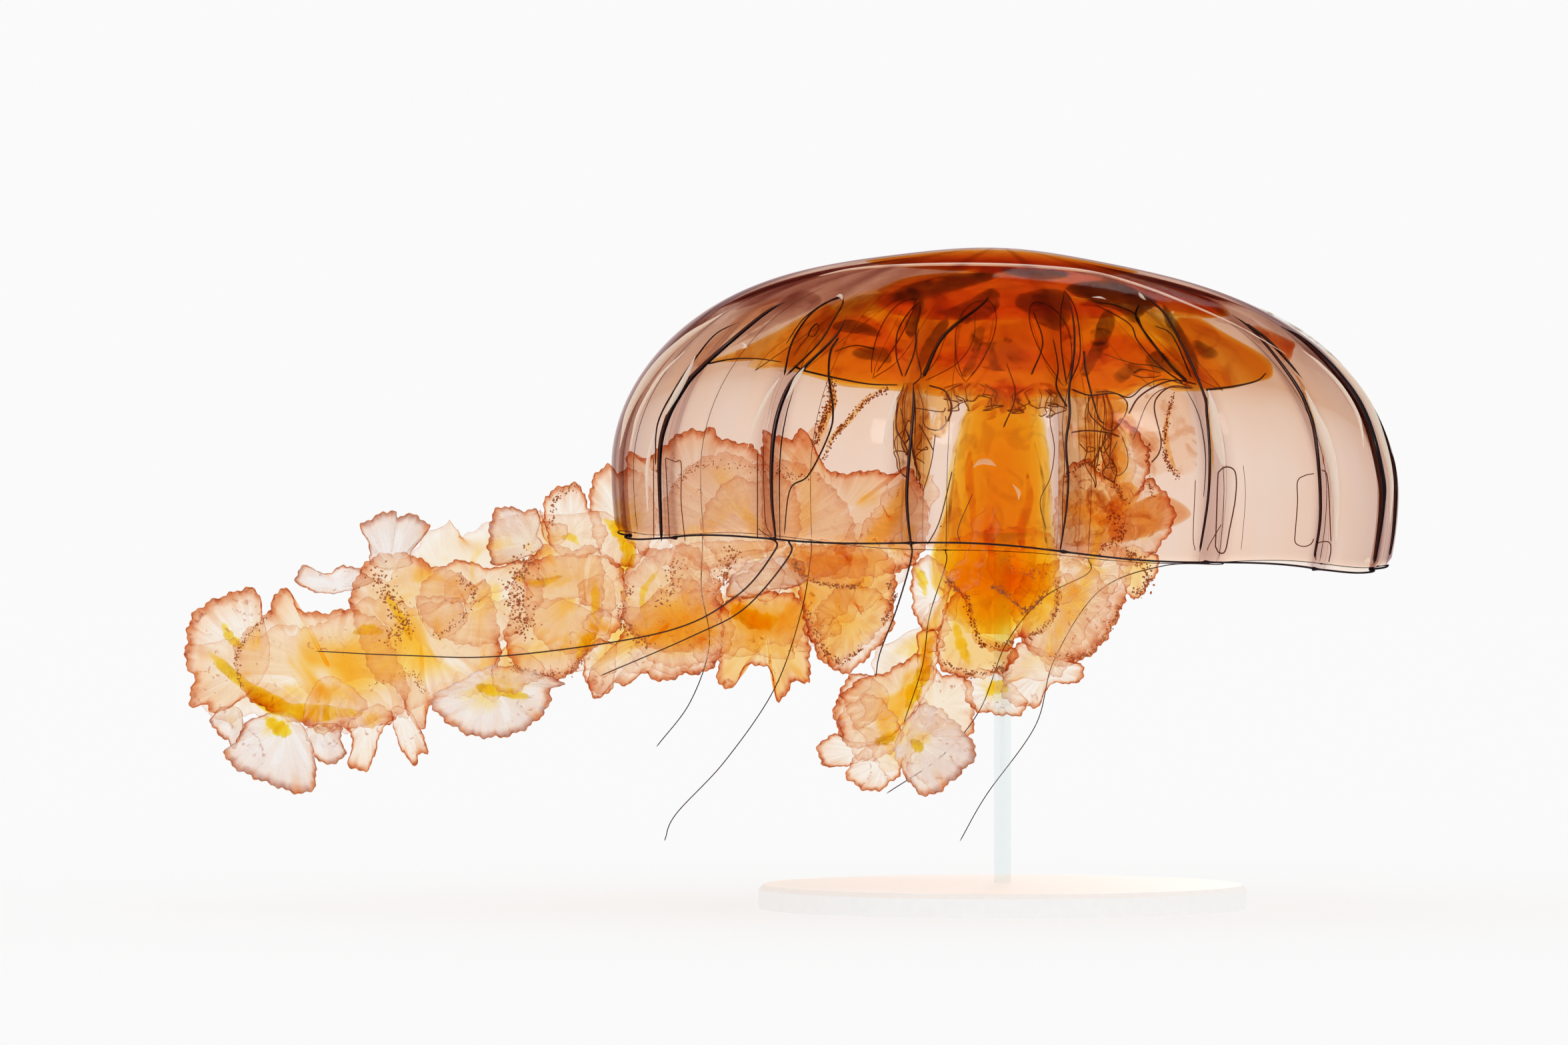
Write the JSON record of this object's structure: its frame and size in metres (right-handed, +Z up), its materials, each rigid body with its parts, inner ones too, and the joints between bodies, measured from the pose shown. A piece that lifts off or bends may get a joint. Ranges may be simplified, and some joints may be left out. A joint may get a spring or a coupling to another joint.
{
  "type": "sea nettle jellyfish",
  "caption": "Life-size swimming sea nettle with a grooved clear bell, amber stomach, frilly oral arms and thin trailing tentacles, held on a rod over a round base.",
  "frame": {"origin": "middle of the underside of the display base, on the axis of the bell", "axes": "+Z up; -Y towards the side the model is shown from; the oral arms and tentacles trail towards -X"},
  "size_m": [0.3046, 0.1992, 0.1677],
  "materials": {
    "bell_clear": "wet clear jelly with a mauve-beige tint and dark purple grooves",
    "bell_smoky": "wet clear jelly that deepens from mauve-brown to dark amber at the top",
    "stomach_amber": "translucent deep amber with smoky folds",
    "gonad": "translucent brown-orange folds",
    "frill": "thin translucent peach frill with yellow ribs, white fans and a crimped brown edge",
    "tentacle": "dark brown, slim and tapering",
    "stand_white": "smooth white acrylic",
    "stand_clear": "polished clear acrylic"
  },
  "bodies": {
    "root": {"crown": "bell_smoky", "panel_01": "bell_clear", "panel_02": "bell_clear", "panel_03": "bell_clear", "panel_04": "bell_clear", "panel_05": "bell_clear", "panel_06": "bell_clear", "panel_07": "bell_clear", "panel_08": "bell_clear", "panel_09": "bell_clear", "panel_10": "bell_clear", "panel_11": "bell_clear", "panel_12": "bell_clear", "panel_13": "bell_clear", "panel_14": "bell_clear", "panel_15": "bell_clear", "panel_16": "bell_clear", "stomach": "stomach_amber", "manubrium": "stomach_amber", "gonad_1": "gonad", "gonad_2": "gonad", "gonad_3": "gonad", "gonad_4": "gonad", "arm_front_left_1": "frill", "arm_front_left_2": "frill", "arm_front_left_3": "frill", "arm_front_left_4": "frill", "arm_front_left_5": "frill", "arm_back_left_1": "frill", "arm_back_left_2": "frill", "arm_back_left_3": "frill", "arm_back_left_4": "frill", "arm_front_1": "frill", "arm_front_2": "frill", "arm_front_3": "frill", "arm_right_1": "frill", "arm_right_2": "frill", "arm_right_3": "frill", "tentacle_1_1": "tentacle", "tentacle_1_2": "tentacle", "tentacle_2_1": "tentacle", "tentacle_2_2": "tentacle", "tentacle_3_1": "tentacle", "tentacle_3_2": "tentacle", "tentacle_4_1": "tentacle", "tentacle_4_2": "tentacle", "tentacle_5_1": "tentacle", "tentacle_5_2": "tentacle", "tentacle_6_1": "tentacle", "tentacle_6_2": "tentacle", "tentacle_7_1": "tentacle", "tentacle_7_2": "tentacle", "tentacle_8_1": "tentacle", "tentacle_8_2": "tentacle", "stand_base": "stand_white", "stand_cup": "stand_clear", "stand_rod": "stand_clear"}
  },
  "joints": []
}
